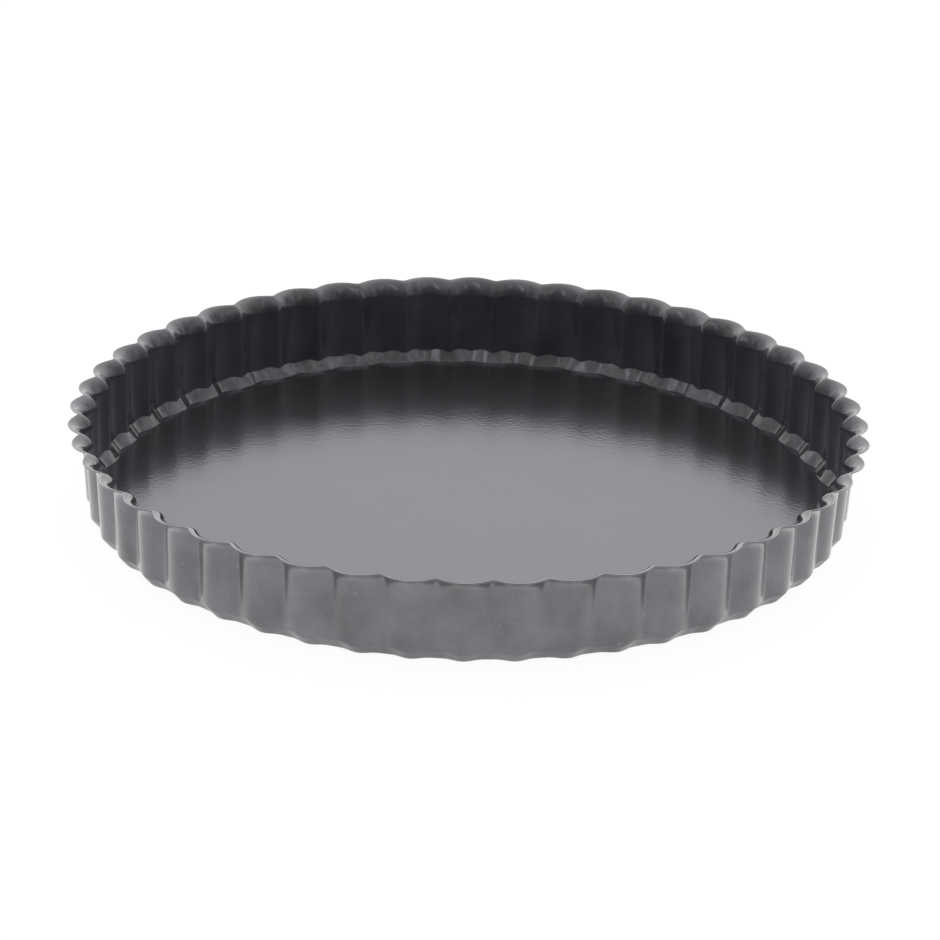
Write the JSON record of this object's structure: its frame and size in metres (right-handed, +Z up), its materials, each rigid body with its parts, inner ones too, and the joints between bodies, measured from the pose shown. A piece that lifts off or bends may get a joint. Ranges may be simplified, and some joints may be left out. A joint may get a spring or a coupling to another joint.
{
  "type": "fluted loose-base pie pan",
  "caption": "Round fluted baking pan: a flared, scalloped sheet-steel ring with a turned-in ledge, and a loose flat base that lifts out to release a pie or tart.",
  "frame": {"origin": "centre of the ring, on the plane that its ledge stands on", "axes": "+Z up along the ring's axis, towards the rim; X and Y each run through two opposite flute crests"},
  "size_m": [0.28, 0.28, 0.032],
  "materials": {
    "ring_coat": "satin grey non-stick coat on sheet steel",
    "base_coat": "half-gloss dark grey non-stick coat on sheet steel"
  },
  "bodies": {
    "ring": {"fluted_ring": "ring_coat"},
    "base": {"loose_base": "base_coat"}
  },
  "joints": [
    {"name": "base_lift", "type": "slide", "parent": "ring", "child": "base", "axis": [0, 0, 1], "range_m": [0, 0.045]}
  ]
}
